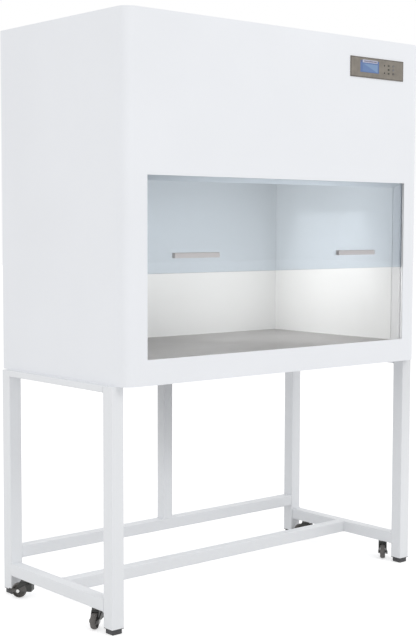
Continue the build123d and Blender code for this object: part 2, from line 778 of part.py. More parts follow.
# ---------------------------------------------------------------- castors
# Local frame: swivel axis on Z, wheel trailing towards +X, floor at zero.
plate_thickness = 2.0
cheek_gap = wheel_width + 2.0
cheek = 2.6
fork_half = cheek_gap / 2 + cheek
crown_radius = fork_half + 2.9
crown_top = rail_height - plate_thickness - 0.3
crown_low = 2 * wheel_radius + 1.5
hood_top = crown_low + 5.0
hood_back, hood_front = -12.0, castor_trail - 6.0
pivot_play = 0.05
axle_radius = 4.0
stem_head_radius = 7.0
side_plane = Plane.XZ           # local side view of a castor

castor_places = {
    "front_left": (-rail_x, castor_y[0], 218.0), "front_right": (rail_x, castor_y[0], 222.0),
    "back_left": (-rail_x, castor_y[1], 130.0), "back_right": (rail_x, castor_y[1], 130.0),
}

# Stems: washer, kingpin with its lower head, and the threaded end and nut in the rail.
with BuildPart() as castor_stems:
    for low, high, radius in (
        (rail_height - plate_thickness, rail_height, crown_radius - 1),
        (crown_low - 3.3, crown_low - 0.3, stem_head_radius),
        (crown_low - 0.3, rail_height + 14, stem_radius),
    ):
        with BuildSketch(Plane.XY.offset(low)):
            with Locations(*[(x, y) for x, y, turn in castor_places.values()]):
                Circle(radius)
        extrude(amount=high - low)
    with BuildSketch(Plane.XY.offset(rail_height + tube_wall)):
        with Locations(*[(x, y) for x, y, turn in castor_places.values()]):
            RegularPolygon(7.5, 6)
    extrude(amount=6.5)
save(castor_stems.part, "castor_stems")

# Fork: a hood that narrows to the axle, slotted for the wheel, under a grooved ball race.
with BuildPart() as fork:
    with BuildSketch(side_plane):
        with Locations((castor_trail, wheel_radius)):
            Circle(8)
        with Locations(((hood_back + hood_front) / 2, (crown_low + hood_top) / 2)):
            Rectangle(hood_front - hood_back, hood_top - crown_low)
        make_hull()
    extrude(amount=fork_half, both=True)
    with BuildSketch(Plane.XZ):
        with BuildLine():
            rim, groove = crown_radius, crown_radius - 1.5
            Polyline(
                (0, hood_top - 1), (rim - 1, hood_top - 1), (rim, hood_top), (rim, hood_top + 1.8),
                (groove, hood_top + 1.8), (groove, hood_top + 2.6), (rim, hood_top + 2.6),
                (rim, crown_top - 1), (rim - 1, crown_top), (0, crown_top), close=True
            )
        make_face()
    revolve(axis=Axis.Z)
    with BuildSketch(Plane.XZ):
        with Locations((castor_trail, crown_low / 2)):
            Rectangle(2 * castor_turn, crown_low)
    extrude(amount=cheek_gap / 2, both=True, mode=Mode.SUBTRACT)
    with BuildSketch(side_plane):
        with Locations((castor_trail, wheel_radius)):
            Circle(axle_radius)
    extrude(amount=fork_half + 4.5, both=True)
    with BuildSketch(Plane.XY.offset(crown_low)):
        Circle(stem_radius + pivot_play)
    extrude(amount=crown_top - crown_low, mode=Mode.SUBTRACT)

# Wheel: moulded, with a crowned tread, a dished web and a hub.
with BuildPart() as wheel:
    with BuildSketch(Plane.XY) as section:
        with BuildLine():
            bore, hub, rim = axle_radius + pivot_play, 9.0, wheel_radius - 5.0
            half = wheel_width / 2
            tread = ThreePointArc(
                (wheel_radius - 3, half), (wheel_radius, 0), (wheel_radius - 3, -half)
            )
            Polyline(
                tread @ 1, (rim, -half), (rim - 1, -3), (hub + 1, -3), (hub, -half - 0.5),
                (bore, -half - 0.5), (bore, half + 0.5), (hub, half + 0.5), (hub + 1, 3),
                (rim - 1, 3), (rim, half), tread @ 0
            )
        make_face()
    revolve(axis=Axis.Y)
wheel_at_axle = Location((castor_trail, 0, wheel_radius))

# Brake pedal: two arms on the axle ends carry a ribbed foot pad, deep and hollow, ahead of
# the crown; one arm runs on past the wheel to a tab that releases it.
arm = 2.2
arm_inner = fork_half + 0.4
pedal_half = arm_inner + arm
tab_side = pedal_half + 3.0
tab_end = (castor_turn ** 2 - tab_side ** 2) ** 0.5
tab_low, tab_high = wheel_radius - 1.5, wheel_radius + 9.0
pad_start = -crown_radius - 1.5
pad_end = pad_start - 8.0
pad_low, pad_top = wheel_radius - 1.0, 2 * wheel_radius + 3.0
arm_clear = crown_low - 1.5     # arms stay below the crown, which is wider than the fork

with BuildPart() as pedal:
    for side in (-1, 1):
        with BuildSketch(side_plane.offset(side * (arm_inner + arm / 2))):
            with Locations((castor_trail, wheel_radius)):
                Circle(7)
            with BuildLine():
                Polyline(
                    (castor_trail, wheel_radius + 6.5), (hood_back, arm_clear),
                    (pad_start, arm_clear), (pad_start, pad_top), (pad_end, pad_top),
                    (pad_end, pad_low + 2), (pad_end + 2, pad_low), (castor_trail, pad_low),
                    close=True
                )
            make_face()
        extrude(amount=arm / 2, both=True)
    with BuildSketch(side_plane.offset(-(arm_inner + arm / 2))):
        with BuildLine():
            Polyline((castor_trail, wheel_radius + 6), (tab_end - 4, tab_high - 1),
                     (tab_end, tab_high), (tab_end, tab_low), (tab_end - 4, tab_low),
                     (castor_trail, wheel_radius - 6), close=True)
        make_face()
    extrude(amount=arm / 2, both=True)
    with BuildSketch(side_plane.offset(-tab_side)):
        with Locations((tab_end - arm / 2, (tab_low + tab_high) / 2)):
            Rectangle(arm, tab_high - tab_low)
    extrude(amount=tab_side - arm_inner)
    with BuildSketch(side_plane):
        with Locations((pad_end + arm / 2, (pad_low + 2 + pad_top) / 2)):
            Rectangle(arm, pad_top - pad_low - 2)
        with Locations(((pad_start + pad_end) / 2, pad_top - arm / 2)):
            Rectangle(pad_start - pad_end, arm)
        with Locations(*[(pad_end + 1.5 + 2.5 * i, pad_top) for i in range(3)]):
            Rectangle(1.2, 1.6)
    extrude(amount=pedal_half, both=True)
    with BuildSketch(side_plane):
        with Locations((castor_trail, wheel_radius)):
            Circle(axle_radius + pivot_play)
    extrude(amount=pedal_half, both=True, mode=Mode.SUBTRACT)

for name, (x, y, turn) in castor_places.items():
    place = Location((x, y, 0), (0, 0, turn))
    save(fork.part.moved(place), f"castor_fork_{name}")
    save(wheel.part.moved(place * wheel_at_axle), f"castor_wheel_{name}")
    save(pedal.part.moved(place), f"castor_pedal_{name}")
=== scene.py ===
"""Looks of a laminar flow hood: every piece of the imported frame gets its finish, and the small
fasteners, welds and printed marks that it lacks are modelled here, in metres, in its frame."""
import json
from math import cos, pi, radians, sin

import bmesh
import bpy
from mathutils import Matrix, Vector


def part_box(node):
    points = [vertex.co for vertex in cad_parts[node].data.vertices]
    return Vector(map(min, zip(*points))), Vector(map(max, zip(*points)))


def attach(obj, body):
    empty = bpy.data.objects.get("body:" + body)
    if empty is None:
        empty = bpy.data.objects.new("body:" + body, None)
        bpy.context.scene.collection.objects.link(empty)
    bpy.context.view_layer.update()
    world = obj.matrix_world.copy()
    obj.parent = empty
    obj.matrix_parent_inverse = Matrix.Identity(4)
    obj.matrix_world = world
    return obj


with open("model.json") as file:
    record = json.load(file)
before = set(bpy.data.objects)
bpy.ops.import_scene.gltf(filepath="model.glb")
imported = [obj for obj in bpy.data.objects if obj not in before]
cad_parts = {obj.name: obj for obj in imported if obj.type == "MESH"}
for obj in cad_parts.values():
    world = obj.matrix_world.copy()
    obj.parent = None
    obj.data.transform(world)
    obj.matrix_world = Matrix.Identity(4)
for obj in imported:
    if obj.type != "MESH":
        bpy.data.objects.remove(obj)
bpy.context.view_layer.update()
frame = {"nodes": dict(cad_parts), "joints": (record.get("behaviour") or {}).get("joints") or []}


# ---- Stand
# Four legs, rails and a flat top frame of square steel tube, welded and powder coated in a cool
# white. The coat is thick and slightly pebbled, and it softens every weld. The strut and the
# right legs darken towards the cabinet, as in its shade in the photo. The lights give too little
# of that shade, so the coat itself is darkened there.
def node(tree, kind, *values, **settings):
    """A shader node, its settings and then the values or links of its inputs, in their order."""
    made = tree.nodes.new(kind)
    for name, value in settings.items():
        setattr(made, name, value)
    for socket, value in zip(made.inputs, values):
        if isinstance(value, bpy.types.NodeSocket):
            tree.links.new(value, socket)
        elif value is not None:
            socket.default_value = value
    return made


def effect(name, inputs):
    """An empty shader group with the named inputs, and Color, Roughness and Height outputs."""
    tree = bpy.data.node_groups.new(name, "ShaderNodeTree")
    for label, kind, value in inputs:
        socket = tree.interface.new_socket(label, in_out="INPUT", socket_type=kind)
        socket.default_value = value
    for label, kind in (("Color", "NodeSocketColor"), ("Roughness", "NodeSocketFloat"),
                        ("Height", "NodeSocketFloat")):
        tree.interface.new_socket(label, in_out="OUTPUT", socket_type=kind)
    return tree, tree.nodes.new("NodeGroupInput"), tree.nodes.new("NodeGroupOutput")


def reckon(tree, operation, *values):
    return node(tree, "ShaderNodeMath", *values, operation=operation).outputs[0]


def noise(tree, vector, scale, detail=2.0):
    return node(tree, "ShaderNodeTexNoise", vector, None, scale, detail).outputs["Fac"]


def spread(tree, value, low, high, start=0.3, end=0.7):
    """A value taken from start..end to low..high, which suits a noise unless they are given."""
    return node(tree, "ShaderNodeMapRange", value, start, end, low, high).outputs["Result"]


def shade(tree, color, factor):
    return node(tree, "ShaderNodeVectorMath", color, None, None, factor,
                operation="SCALE").outputs["Vector"]


COLOR, FLOAT, VECTOR = "NodeSocketColor", "NodeSocketFloat", "NodeSocketVector"

powder_coat, given, put = effect("powder_coat", [
    ("Color", COLOR, (0.8, 0.8, 0.8, 1)), ("Pebble", FLOAT, 700.0), ("Gloss", FLOAT, 0.36),
    ("Painted shade", FLOAT, 0.0)])
place = node(powder_coat, "ShaderNodeTexCoord").outputs["Object"]
drift = spread(powder_coat, noise(powder_coat, place, 2.6), 0.985, 1.012)
height = node(powder_coat, "ShaderNodeSeparateXYZ", place).outputs["Z"]
# Painted shade for the cabinet's shade over the stand: darker from 0.30 m up to 0.78 m.
plain_below, darkest_above = 0.30, 0.78
painted_darkening = reckon(powder_coat, "MULTIPLY",
                   spread(powder_coat, height, 0.0, 1.0, plain_below, darkest_above),
                   given.outputs["Painted shade"])
drift = reckon(powder_coat, "MULTIPLY", drift, reckon(powder_coat, "SUBTRACT", 1.0, painted_darkening))
pebble = noise(powder_coat, place, given.outputs["Pebble"], 1.0)
powder_coat.links.new(shade(powder_coat, given.outputs["Color"], drift), put.inputs["Color"])
rub = spread(powder_coat, noise(powder_coat, place, 9.0, 4.0), -0.04, 0.06)
powder_coat.links.new(reckon(powder_coat, "ADD", given.outputs["Gloss"], rub),
                      put.inputs["Roughness"])
powder_coat.links.new(pebble, put.inputs["Height"])


def finish(name, group, values, bump=0.1, depth=0.0002, **sockets):
    """A material whose colour, roughness and relief come from one shared effect."""
    material = bpy.data.materials.new(name)
    material.use_nodes = True
    tree = material.node_tree
    surface = tree.nodes["Principled BSDF"]
    source = tree.nodes.new("ShaderNodeGroup")
    source.node_tree = group
    for label, value in values.items():
        source.inputs[label].default_value = value
    tree.links.new(source.outputs["Color"], surface.inputs["Base Color"])
    tree.links.new(source.outputs["Roughness"], surface.inputs["Roughness"])
    relief = tree.nodes.new("ShaderNodeBump")
    relief.inputs["Strength"].default_value = bump
    relief.inputs["Distance"].default_value = depth
    tree.links.new(source.outputs["Height"], relief.inputs["Height"])
    tree.links.new(relief.outputs["Normal"], surface.inputs["Normal"])
    for label, value in sockets.items():
        surface.inputs[label.replace("_", " ")].default_value = value
    return material


def dress(material, *names):
    """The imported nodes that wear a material."""
    for name in names:
        frame["nodes"][name].material_slots[0].material = material


def piece(form, name, material, body, flat=False):
    """A finished bmesh as a piece of its own that moves with a body."""
    mesh = bpy.data.meshes.new(name)
    bmesh.ops.recalc_face_normals(form, faces=form.faces)
    for face in form.faces:
        face.smooth = not flat
    form.to_mesh(mesh)
    form.free()
    made = bpy.data.objects.new(name, mesh)
    bpy.context.scene.collection.objects.link(made)
    mesh.materials.append(material)
    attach(made, body)
    return made


cool_white = {"Color": (0.825, 0.84, 0.862, 1), "Pebble": 620.0, "Gloss": 0.38}
stand_coat = finish("stand_coat", powder_coat, cool_white)
# The strut and the two right legs wear that painted shade, the strut most.
strut_coat_painted_shade = finish("strut_coat_painted_shade", powder_coat, {**cool_white, "Painted shade": 0.46})
leg_coat_painted_shade = finish("leg_coat_painted_shade", powder_coat, {**cool_white, "Painted shade": 0.11})
dress(stand_coat, "leg_front_left", "leg_back_left", "top_frame", "side_rail_left",
      "side_rail_right", "middle_rail", "back_rail")
dress(strut_coat_painted_shade, "back_strut")
dress(leg_coat_painted_shade, "leg_front_right", "leg_back_right")

weld_coat = finish("weld_coat", powder_coat,
                   {"Color": (0.81, 0.825, 0.845, 1), "Pebble": 300.0, "Gloss": 0.42},
                   bump=0.6, depth=0.0006)


def bead(form, start, end, radius=0.0012):
    """A thin round run of weld metal or sealant, laid from start to end."""
    start, end = Vector(start), Vector(end)
    run = bmesh.ops.create_cone(form, cap_ends=True, segments=10, radius1=radius,
                                radius2=radius, depth=(end - start).length)["verts"]
    turn = Vector((0, 0, 1)).rotation_difference(end - start).to_matrix().to_4x4()
    bmesh.ops.transform(form, matrix=Matrix.Translation((start + end) / 2) @ turn, verts=run)


corners = ("front_left", "front_right", "back_left", "back_right")
welds = bmesh.new()
for rail in ("side_rail_left", "side_rail_right"):
    low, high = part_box(rail)
    inner = high.x if high.x < 0 else low.x
    for y in (low.y, high.y):
        bead(welds, (low.x, y, high.z), (high.x, y, high.z))
        bead(welds, (low.x, y, low.z), (high.x, y, low.z))
        bead(welds, (inner, y, low.z), (inner, y, high.z))
low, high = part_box("middle_rail")
for x in (low.x, high.x):
    for y in (low.y, high.y):
        bead(welds, (x, y, low.z), (x, y, high.z))
low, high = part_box("back_rail")
for x in (low.x, high.x):
    for z in (low.z, high.z):
        bead(welds, (x, low.y, z), (x, high.y, z))
    for y in (low.y, high.y):
        bead(welds, (x, y, low.z), (x, y, high.z))
low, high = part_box("back_strut")
for z in (low.z, high.z):
    for x in (low.x, high.x):
        bead(welds, (x, low.y, z), (x, high.y, z))
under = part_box("top_frame")[0].z
for corner in corners:
    low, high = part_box(f"leg_{corner}")
    inner = Vector((high.x if high.x < 0 else low.x, high.y if high.y < 0 else low.y, 0))
    if low.z < under:
        bead(welds, (low.x, inner.y, under), (high.x, inner.y, under))
    if low.y > 0:
        bead(welds, (inner.x, low.y, under), (inner.x, high.y, under))
piece(welds, "weld_beads", weld_coat, "cabinet")

# ---- Feet
# Moulded plugs of dark plastic driven into the leg ends, with a thin collar and a square pad.
# The mould leaves a fine grain, and the black is a little cloudy.
moulded, given, put = effect("moulded", [
    ("Color", COLOR, (0.1, 0.1, 0.1, 1)), ("Grain", FLOAT, 1800.0), ("Gloss", FLOAT, 0.5)])
place = node(moulded, "ShaderNodeTexCoord").outputs["Object"]
cloud = spread(moulded, noise(moulded, place, 45.0, 3.0), 0.88, 1.14)
moulded.links.new(shade(moulded, given.outputs["Color"], cloud), put.inputs["Color"])
rub = spread(moulded, noise(moulded, place, 120.0, 3.0), -0.07, 0.09)
moulded.links.new(reckon(moulded, "ADD", given.outputs["Gloss"], rub), put.inputs["Roughness"])
moulded.links.new(noise(moulded, place, given.outputs["Grain"], 1.0), put.inputs["Height"])

foot_plastic = finish("foot_plastic", moulded, {"Color": (0.052, 0.052, 0.055, 1)}, bump=0.25)
dress(foot_plastic, "feet")

# ---- Castors
# A plated kingpin and nut hold each black fork under its rail. A grey nylon wheel turns on the
# axle, whose bright domed ends show, and a black pedal rocks on them to jam the wheel.
plated, given, put = effect("plated", [
    ("Color", COLOR, (0.6, 0.6, 0.6, 1)), ("Cells", FLOAT, 90.0), ("Gloss", FLOAT, 0.32)])
place = node(plated, "ShaderNodeTexCoord").outputs["Object"]
cells = node(plated, "ShaderNodeTexVoronoi", place, None, given.outputs["Cells"]).outputs["Color"]
tone = node(plated, "ShaderNodeSeparateColor", cells).outputs[0]
plated.links.new(shade(plated, given.outputs["Color"], spread(plated, tone, 0.88, 1.08, 0, 1)),
                 put.inputs["Color"])
plated.links.new(reckon(plated, "ADD", given.outputs["Gloss"],
                        spread(plated, tone, -0.05, 0.08, 0, 1)), put.inputs["Roughness"])
plated.links.new(noise(plated, place, 900.0, 2.0), put.inputs["Height"])

zinc = finish("zinc_plate", plated, {"Color": (0.66, 0.66, 0.65, 1), "Cells": 400.0},
              Metallic=1.0)
fork_black = finish("fork_black", moulded, {"Color": (0.026, 0.027, 0.025, 1), "Gloss": 0.42},
                    bump=0.2)
wheel_nylon = finish("wheel_nylon", moulded, {"Color": (0.115, 0.108, 0.102, 1), "Gloss": 0.55},
                     bump=0.3)
dome_bright = finish("dome_bright", plated, {"Color": (0.86, 0.86, 0.85, 1), "Cells": 300.0,
                                            "Gloss": 0.42}, Metallic=0.35)
dress(zinc, "castor_stems")


def either(tree, factor, first, second):
    """The first colour where the factor is 0, and the second where it is 1."""
    return node(tree, "ShaderNodeMix", factor, None, None, None, None, None, first, second,
                data_type="RGBA").outputs[2]


# The pedal is one moulding. Its pad is black, and the arms round the axle are rubbed to grey.
rocker, given, put = effect("rocker", [
    ("Pad", COLOR, (0.026, 0.027, 0.025, 1)), ("Arm", COLOR, (0.085, 0.081, 0.077, 1)),
    ("Axle", VECTOR, (0, 0, 0)), ("Gloss", FLOAT, 0.45)])
place = node(rocker, "ShaderNodeTexCoord").outputs["Object"]
reach = node(rocker, "ShaderNodeVectorMath", place, given.outputs["Axle"],
             operation="DISTANCE").outputs["Value"]
arm_end, pad_start = 0.0335, 0.0345
on_pad = spread(rocker, reach, 0.0, 1.0, arm_end, pad_start)
two_tone = either(rocker, on_pad, given.outputs["Arm"], given.outputs["Pad"])
cloud = spread(rocker, noise(rocker, place, 60.0, 3.0), 0.88, 1.14)
rocker.links.new(shade(rocker, two_tone, cloud), put.inputs["Color"])
rub = spread(rocker, noise(rocker, place, 140.0, 3.0), -0.06, 0.08)
rocker.links.new(reckon(rocker, "ADD", given.outputs["Gloss"], rub), put.inputs["Roughness"])
rocker.links.new(noise(rocker, place, 1800.0, 1.0), put.inputs["Height"])

dome_radius, dome_rise, dome_middle = 0.0058, 0.0024, 0.01655
race_radius, race_height, race_wire = 0.0144, 0.0587, 0.0005
for corner in corners:
    swivel = next(j for j in frame["joints"] if j["name"] == f"swivel_{corner}")
    roll = next(j for j in frame["joints"] if j["name"] == f"roll_{corner}")
    hub, across = Vector(roll["pos_m"]), Vector(roll["axis"])
    pedal_plastic = finish(f"pedal_plastic_{corner}", rocker, {"Axle": hub}, bump=0.2)
    dress(fork_black, f"castor_fork_{corner}")
    dress(pedal_plastic, f"castor_pedal_{corner}")
    dress(wheel_nylon, f"castor_wheel_{corner}")

    turn = Vector((0, 0, 1)).rotation_difference(across).to_matrix().to_4x4()
    domes = bmesh.new()
    for side in (-1, 1):
        before = set(domes.verts)
        bmesh.ops.create_cone(domes, cap_ends=True, segments=32, radius1=dome_radius,
                              radius2=dome_radius, depth=dome_rise)
        fresh = set(domes.verts) - before
        rim = [e for e in domes.edges if all(v in fresh and v.co.z > 0 for v in e.verts)]
        bmesh.ops.bevel(domes, geom=rim, affect="EDGES", offset=dome_rise * 0.75, segments=4,
                        profile=0.5, material=-1)
        fresh = [v for v in domes.verts if v not in before]
        if side < 0:
            bmesh.ops.rotate(domes, verts=fresh, matrix=Matrix.Rotation(pi, 3, "X"))
        bmesh.ops.translate(domes, verts=fresh, vec=(0, 0, side * dome_middle))
    bmesh.ops.transform(domes, matrix=Matrix.Translation(hub) @ turn, verts=domes.verts)
    piece(domes, f"axle_domes_{corner}", dome_bright, f"castor_{corner}")

    race = bmesh.new()
    ring = bmesh.ops.create_circle(race, segments=8, radius=race_wire)["verts"]
    bmesh.ops.rotate(race, verts=ring, matrix=Matrix.Rotation(pi / 2, 3, "X"))
    bmesh.ops.translate(race, verts=ring, vec=(race_radius, 0, race_height))
    bmesh.ops.spin(race, geom=race.edges[:], cent=(0, 0, 0), axis=(0, 0, 1), angle=2 * pi,
                   steps=48, use_merge=True)
    bmesh.ops.translate(race, verts=race.verts, vec=(swivel["pos_m"][0], swivel["pos_m"][1], 0))
    piece(race, f"swivel_race_{corner}", zinc, f"castor_{corner}")

# ---- Casing
# The outer skin, roof lid, bottom pan and rear panel are folded steel sheet, powder coated in
# the same cool white. Pan-head screws with a cross recess hold the rear panel and the grille.
casing_coat = finish("casing_coat", powder_coat,
                     {"Color": (0.855, 0.872, 0.905, 1), "Pebble": 760.0, "Gloss": 0.34})
dress(casing_coat, "outer_shell", "bottom_pan", "back_panel", "top_panel", "intake_grille")


def pan_head(form, at, outward, radius=0.0038, height=0.0018):
    """A screw head: a low dome with a cross cut in it, seated on a plane that faces outward."""
    before = set(form.verts)
    bmesh.ops.create_circle(form, cap_ends=True, segments=24, radius=radius)
    base = [v for v in form.verts if v not in before]
    face = next(f for f in form.faces if all(v in base for v in f.verts))
    rise = bmesh.ops.extrude_face_region(form, geom=[face])
    top = [g for g in rise["geom"] if isinstance(g, bmesh.types.BMVert)]
    bmesh.ops.translate(form, verts=top, vec=(0, 0, height))
    crown = next(g for g in rise["geom"] if isinstance(g, bmesh.types.BMFace))
    bmesh.ops.bevel(form, geom=list(crown.edges), affect="EDGES", offset=height * 0.75,
                    segments=3, profile=0.5, material=-1)
    fresh = [v for v in form.verts if v not in before]
    for angle in (0.4, 0.4 + pi / 2):
        slot = bmesh.ops.create_cube(form, size=1.0)["verts"]
        bmesh.ops.scale(form, verts=slot, vec=(radius * 1.05, radius * 0.2, 0.0003))
        bmesh.ops.rotate(form, verts=slot, matrix=Matrix.Rotation(angle, 3, "Z"))
        bmesh.ops.translate(form, verts=slot, vec=(0, 0, height))
        fresh += slot
    turn = Vector((0, 0, 1)).rotation_difference(outward).to_matrix().to_4x4()
    bmesh.ops.transform(form, matrix=Matrix.Translation(at) @ turn, verts=fresh)


screws = bmesh.new()
low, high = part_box("back_panel")
margin = 0.012
for i in range(6):
    x = low.x + margin + i * (high.x - low.x - 2 * margin) / 5
    for z in (low.z + margin, high.z - margin):
        pan_head(screws, Vector((x, high.y, z)), Vector((0, 1, 0)))
for i in range(1, 5):
    z = low.z + margin + i * (high.z - low.z - 2 * margin) / 5
    for x in (low.x + margin, high.x - margin):
        pan_head(screws, Vector((x, high.y, z)), Vector((0, 1, 0)))
low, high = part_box("intake_grille")
rim_middle, dimple = 0.006, 0.002
for x in (low.x + rim_middle, 0, high.x - rim_middle):
    for y in (low.y + rim_middle, high.y - rim_middle):
        pan_head(screws, Vector((x, y, high.z - dimple)), Vector((0, 0, 1)), height=0.0015)
piece(screws, "casing_screws", zinc, "cabinet")

# ---- Work chamber
# The walls, jambs and header are folded sheet with a light grey coat. The worktop is a stainless
# tray, brushed along its length, with a bead of sealant where the walls meet it.
chamber_coat = finish("chamber_coat", powder_coat,
                      {"Color": (0.76, 0.765, 0.76, 1), "Pebble": 820.0, "Gloss": 0.4})
dress(chamber_coat, "wall_back", "wall_left", "wall_right", "header_reveal", "diffuser")
jamb_coat = finish("jamb_coat", powder_coat,
                   {"Color": (0.69, 0.695, 0.70, 1), "Pebble": 820.0, "Gloss": 0.4})
dress(jamb_coat, "jamb_left", "jamb_right")

brushed, given, put = effect("brushed", [
    ("Color", COLOR, (0.6, 0.6, 0.6, 1)), ("Stroke", VECTOR, (3.0, 1400.0, 1400.0)),
    ("Gloss", FLOAT, 0.34)])
place = node(brushed, "ShaderNodeTexCoord").outputs["Object"]
drawn = node(brushed, "ShaderNodeVectorMath", place, given.outputs["Stroke"],
             operation="MULTIPLY").outputs["Vector"]
lines = noise(brushed, drawn, 1.0, 3.0)
smear = noise(brushed, place, 5.0, 4.0)
tint = reckon(brushed, "MULTIPLY", spread(brushed, lines, 0.93, 1.07),
              spread(brushed, smear, 0.96, 1.03))
brushed.links.new(shade(brushed, given.outputs["Color"], tint), put.inputs["Color"])
brushed.links.new(reckon(brushed, "ADD", given.outputs["Gloss"],
                         spread(brushed, smear, -0.05, 0.07)), put.inputs["Roughness"])
brushed.links.new(lines, put.inputs["Height"])

worktop_steel = finish("worktop_steel", brushed,
                       {"Color": (0.41, 0.40, 0.397, 1), "Gloss": 0.4},
                       bump=0.12, Metallic=0.7, Anisotropic=0.5)
dress(worktop_steel, "worktop")

sealant = finish("sealant", moulded, {"Color": (0.62, 0.62, 0.61, 1), "Gloss": 0.5}, bump=0.1)
low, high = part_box("worktop")
joint = bmesh.new()
bead_radius, sunk = 0.0016, 0.0004
jamb_face = low.y + 0.019
top = high.z - sunk
bead(joint, (low.x, high.y - sunk, top), (high.x, high.y - sunk, top), bead_radius)
for x in (low.x + sunk, high.x - sunk):
    bead(joint, (x, jamb_face, top), (x, high.y, top), bead_radius)
piece(joint, "sealant_bead", sealant, "cabinet")

# ---- Fan section
# Galvanised deck, scroll and impeller under the roof, a black motor, the pleated filter in its
# frame, and the polyester pad under the intake grille.
galvanised = finish("galvanised", plated, {"Color": (0.62, 0.64, 0.65, 1), "Cells": 110.0},
                    Metallic=0.9)
motor_black = finish("motor_black", powder_coat, {"Color": (0.02, 0.02, 0.022, 1), "Gloss": 0.3})
dress(galvanised, "fan_deck", "blower_scroll", "impeller")
dress(motor_black, "blower_motor")

fibre, given, put = effect("fibre", [
    ("Color", COLOR, (0.8, 0.8, 0.8, 1)), ("Thread", FLOAT, 500.0), ("Gloss", FLOAT, 0.85)])
place = node(fibre, "ShaderNodeTexCoord").outputs["Object"]
felt = noise(fibre, place, given.outputs["Thread"], 6.0)
fibre.links.new(shade(fibre, given.outputs["Color"], spread(fibre, felt, 0.8, 1.1)),
                put.inputs["Color"])
fibre.links.new(reckon(fibre, "ADD", given.outputs["Gloss"], spread(fibre, felt, -0.05, 0.05)),
                put.inputs["Roughness"])
fibre.links.new(felt, put.inputs["Height"])
filter_paper = finish("filter_paper", fibre, {"Color": (0.86, 0.86, 0.83, 1), "Thread": 900.0},
                      bump=0.3)
pad_felt = finish("pad_felt", fibre, {"Color": (0.70, 0.72, 0.71, 1), "Thread": 380.0},
                  bump=0.8, depth=0.0012, Sheen_Weight=0.3)
dress(filter_paper, "hepa_filter")
dress(pad_felt, "prefilter_pad")

# ---- Lamps
# An opal tube and a clear quartz tube under the lamp shelf, each with aluminium end caps, in
# white moulded holders.
opal = finish("opal_glass", moulded, {"Color": (0.88, 0.89, 0.87, 1), "Gloss": 0.18}, bump=0.03)
quartz = finish("quartz_glass", moulded, {"Color": (0.80, 0.83, 0.87, 1), "Gloss": 0.12},
                bump=0.02, Transmission_Weight=0.6)
holder_white = finish("holder_white", moulded, {"Color": (0.80, 0.80, 0.78, 1), "Gloss": 0.4},
                      bump=0.15)
dress(opal, "lamp_tube")
dress(quartz, "uv_tube")
dress(holder_white, "lampholders")
cap_metal = finish("cap_metal", brushed, {"Color": (0.72, 0.72, 0.73, 1),
                                          "Stroke": (900.0, 4.0, 4.0)}, Metallic=1.0)
cap_radius, cap_length, cap_inset, cap_sheet = 0.0133, 0.018, 0.0085, 0.0003
caps = bmesh.new()
along = Matrix.Rotation(pi / 2, 4, "Y")
for tube in ("lamp_tube", "uv_tube"):
    low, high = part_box(tube)
    at = (low + high) / 2
    for side in (-1, 1):
        ring = bmesh.ops.create_cone(caps, cap_ends=False, segments=40, radius1=cap_radius,
                                     radius2=cap_radius, depth=cap_length)["verts"]
        end = high.x - at.x - cap_inset - cap_length / 2
        seat = Matrix.Translation((at.x + side * end, at.y, at.z))
        bmesh.ops.transform(caps, matrix=seat @ along, verts=ring)
bmesh.ops.solidify(caps, geom=caps.faces[:], thickness=cap_sheet)
piece(caps, "lamp_caps", cap_metal, "cabinet")

# ---- Sash
# One pane of clear glass with a faint blue cast and ground edges, in anodised channels, and two
# aluminium pulls bonded to its face.
glass = bpy.data.materials.new("sash_glass")
glass.use_nodes = True
tree = glass.node_tree
surface = tree.nodes["Principled BSDF"]
place = node(tree, "ShaderNodeTexCoord").outputs["Object"]
haze = spread(tree, noise(tree, place, 4.0, 5.0), 0.0, 0.03, 0.45, 0.8)
tree.links.new(haze, surface.inputs["Roughness"])
surface.inputs["Base Color"].default_value = (0.685, 0.748, 0.814, 1)
surface.inputs["Transmission Weight"].default_value = 1.0
surface.inputs["IOR"].default_value = 1.45
dress(glass, "sash_glass")

anodised = finish("anodised", brushed, {"Color": (0.50, 0.485, 0.49, 1),
                                        "Stroke": (6.0, 1500.0, 1500.0), "Gloss": 0.42},
                  bump=0.08, Metallic=0.45)
# The channels are a light grey, raised further as painted light against the shade in their U.
channel = finish("channel_anodised_painted_light", brushed, {"Color": (0.86, 0.865, 0.875, 1),
                                              "Stroke": (1500.0, 1500.0, 6.0), "Gloss": 0.45},
                 bump=0.08, Metallic=0.1)
dress(anodised, "sash_handles")
dress(channel, "glass_runs")

cap_grey = finish("cap_grey", moulded, {"Color": (0.47, 0.455, 0.46, 1), "Gloss": 0.45}, bump=0.15)
low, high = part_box("sash_handles")
pull_length, plug_thickness, plug_stands_out, brow_radius = 0.176, 0.0012, 0.0004, 0.004
plugs = bmesh.new()
for end, way in ((low.x, -1), (low.x + pull_length, 1), (high.x - pull_length, -1), (high.x, 1)):
    before = set(plugs.verts)
    plate = bmesh.ops.create_cube(plugs, size=1.0)["verts"]
    bmesh.ops.scale(plugs, verts=plate, vec=(plug_thickness, high.y - low.y, high.z - low.z))
    brow = [e for e in plugs.edges
            if all(v in plate and v.co.y < 0 and v.co.z > 0 for v in e.verts)]
    bmesh.ops.bevel(plugs, geom=brow, affect="EDGES", offset=brow_radius, segments=6,
                    profile=0.5, material=-1)
    plate = [v for v in plugs.verts if v not in before]
    bmesh.ops.translate(plugs, verts=plate, vec=(
        end + way * plug_stands_out, (low.y + high.y) / 2, (low.z + high.z) / 2))
piece(plugs, "handle_end_plugs", cap_grey, "sash", flat=True)

